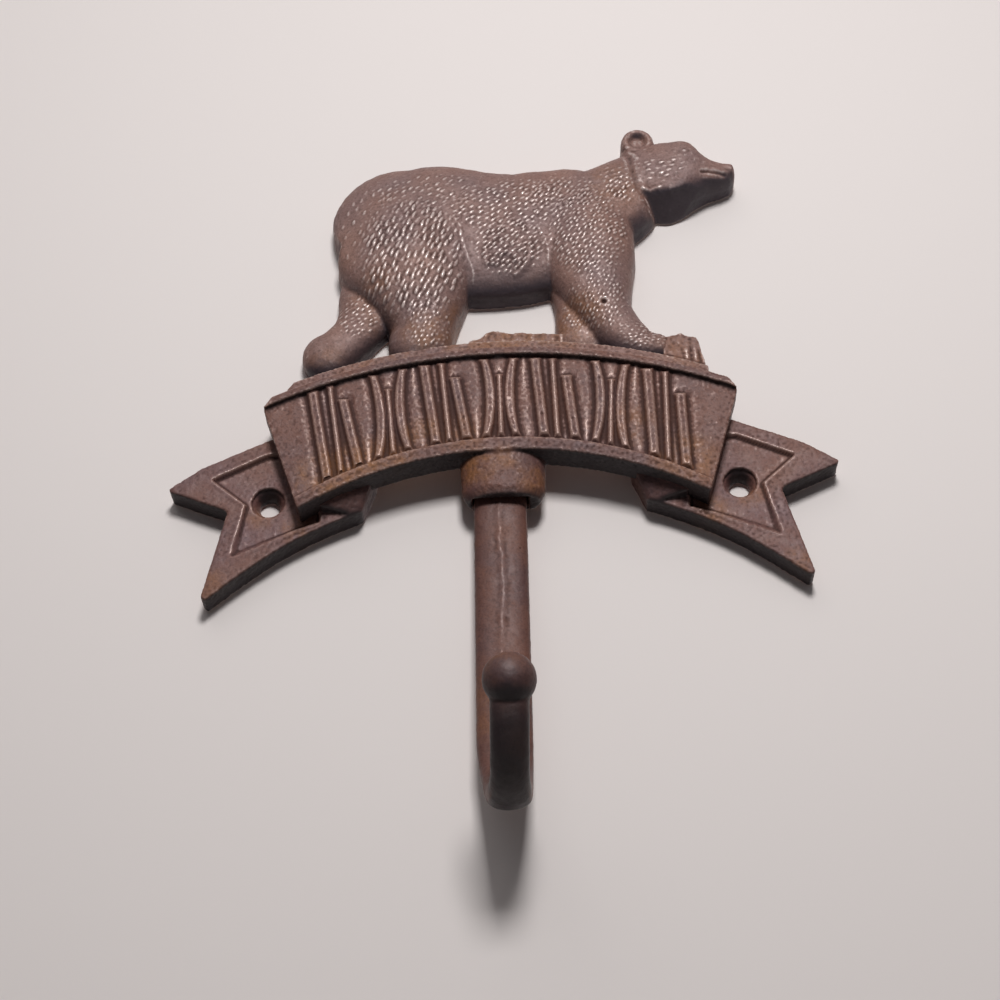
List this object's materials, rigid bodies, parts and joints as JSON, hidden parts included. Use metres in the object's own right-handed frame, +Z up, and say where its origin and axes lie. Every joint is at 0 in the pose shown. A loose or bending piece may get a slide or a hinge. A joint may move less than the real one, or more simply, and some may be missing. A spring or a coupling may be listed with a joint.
{
  "type": "cast iron bear wall sign with coat hook",
  "caption": "Cast iron wall sign: a bear in relief on an arched ribbon banner with swallow-tail ends, and a coat hook hanging from a collar below.",
  "frame": {"origin": "midway between the two screw holes, on the flat back that lies against the wall", "axes": "+X right as seen from the room, +Y into the wall, +Z up; the relief faces -Y"},
  "size_m": [0.168, 0.0505, 0.2052],
  "materials": {
    "rusted_cast_iron": "as-cast grain with a reddish brown rust patina and a dull wax sheen",
    "hook_cast_iron": "as-cast grain with a reddish brown rust patina, smoother than the sign"
  },
  "bodies": {
    "root": {"bear_sign": "rusted_cast_iron", "coat_hook": "hook_cast_iron"}
  },
  "joints": []
}
